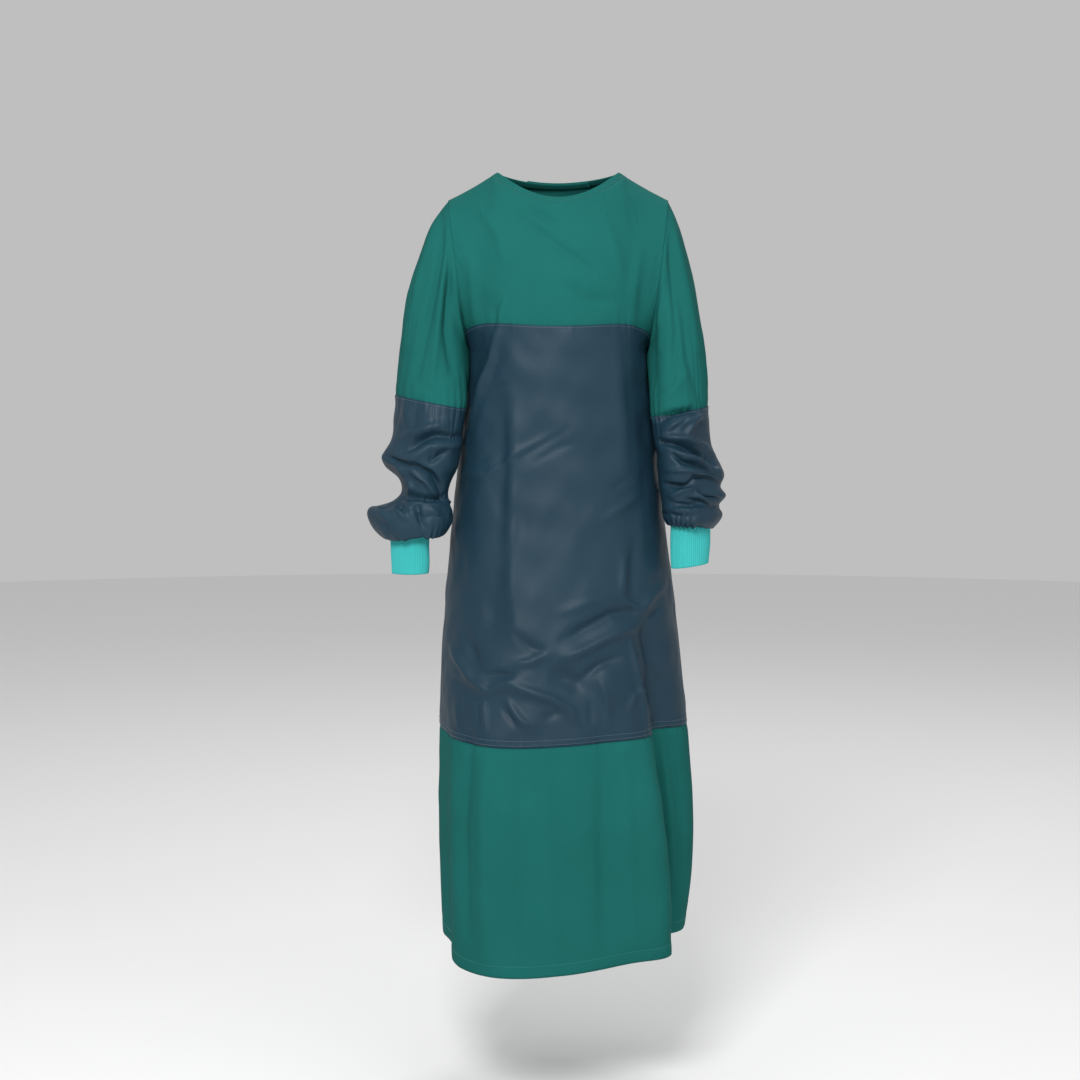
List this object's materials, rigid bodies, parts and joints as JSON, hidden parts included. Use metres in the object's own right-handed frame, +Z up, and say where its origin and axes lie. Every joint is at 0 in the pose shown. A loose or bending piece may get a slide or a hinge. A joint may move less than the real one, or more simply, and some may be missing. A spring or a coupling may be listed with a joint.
{
  "type": "surgical gown",
  "caption": "Worn long-sleeved surgical gown, hollow, with a dark water-repellent front panel and forearms, rib-knit cuffs, a bound round neck and a tied back lap.",
  "frame": {"origin": "midway between the two neck points, level with the top of the shoulders, where the wearer carries the gown", "axes": "+Z up, -Y out of the gown's front, +X towards the wearer's left"},
  "size_m": [0.569, 0.4193, 1.2477],
  "materials": {
    "green_plain_weave": "matt plain-weave cotton blend, surgical green",
    "dark_water_repellent": "smooth microfibre, slate navy, low satin sheen",
    "turquoise_rib_knit": "matt rib knit, bright turquoise"
  },
  "bodies": {
    "root": {"front_yoke": "green_plain_weave", "front_skirt": "green_plain_weave", "back_panel_left": "green_plain_weave", "back_panel_right": "green_plain_weave", "sleeve_upper_right": "green_plain_weave", "sleeve_upper_left": "green_plain_weave", "neck_binding": "green_plain_weave", "neck_tie_left": "green_plain_weave", "neck_tie_right": "green_plain_weave", "waist_tie_left": "green_plain_weave", "waist_tie_right": "green_plain_weave", "front_panel": "dark_water_repellent", "sleeve_lower_right": "dark_water_repellent", "sleeve_lower_left": "dark_water_repellent", "cuff_right": "turquoise_rib_knit", "cuff_left": "turquoise_rib_knit"}
  },
  "joints": []
}
